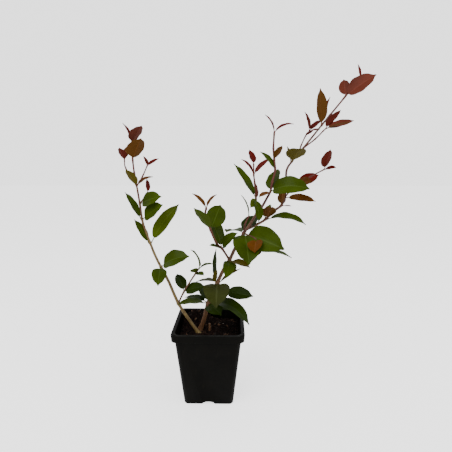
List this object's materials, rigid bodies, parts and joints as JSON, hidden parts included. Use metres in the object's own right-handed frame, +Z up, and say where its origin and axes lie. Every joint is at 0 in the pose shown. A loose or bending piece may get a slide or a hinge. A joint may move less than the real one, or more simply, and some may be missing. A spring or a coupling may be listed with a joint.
{
  "type": "potted shrub",
  "caption": "Young two-stemmed shrub with glossy green leaves and red new growth, standing in a small square black nursery pot.",
  "frame": {"origin": "centre of the pot's flat underside", "axes": "+Z up along the pot's axis, +X to the right seen from the front, +Y away from the viewer, square to the pot's sides"},
  "size_m": [0.3037, 0.114, 0.399],
  "materials": {
    "plastic": "matt black moulded plastic",
    "earth": "dark fibrous potting soil",
    "bark": "smooth young bark",
    "leaf": "glossy green leaf",
    "young_leaf": "glossy red new leaf"
  },
  "bodies": {
    "root": {"pot": "plastic", "soil": "earth", "cut_stub": "bark", "stem_left": "bark", "stem_right": "bark", "bough_right": "bark", "left_side_shoot": "leaf", "left_leaves_low": "leaf", "left_leaves_middle": "leaf", "left_leaves_upper": "leaf", "left_leaves_high": "leaf", "left_top_shoot": "young_leaf", "foot_leaves_low": "leaf", "foot_leaves_high": "leaf", "waist_leaves": "leaf", "middle_shoot": "leaf", "heart_leaves": "leaf", "back_shoot": "young_leaf", "crown_shoot": "leaf", "bough_leaves_low": "young_leaf", "bough_leaves_middle": "young_leaf", "bough_side_shoot": "young_leaf", "bough_leaves_high": "leaf", "tip_twig_left": "young_leaf", "tip_twig_right": "young_leaf", "tip_shoot": "young_leaf"}
  },
  "joints": []
}
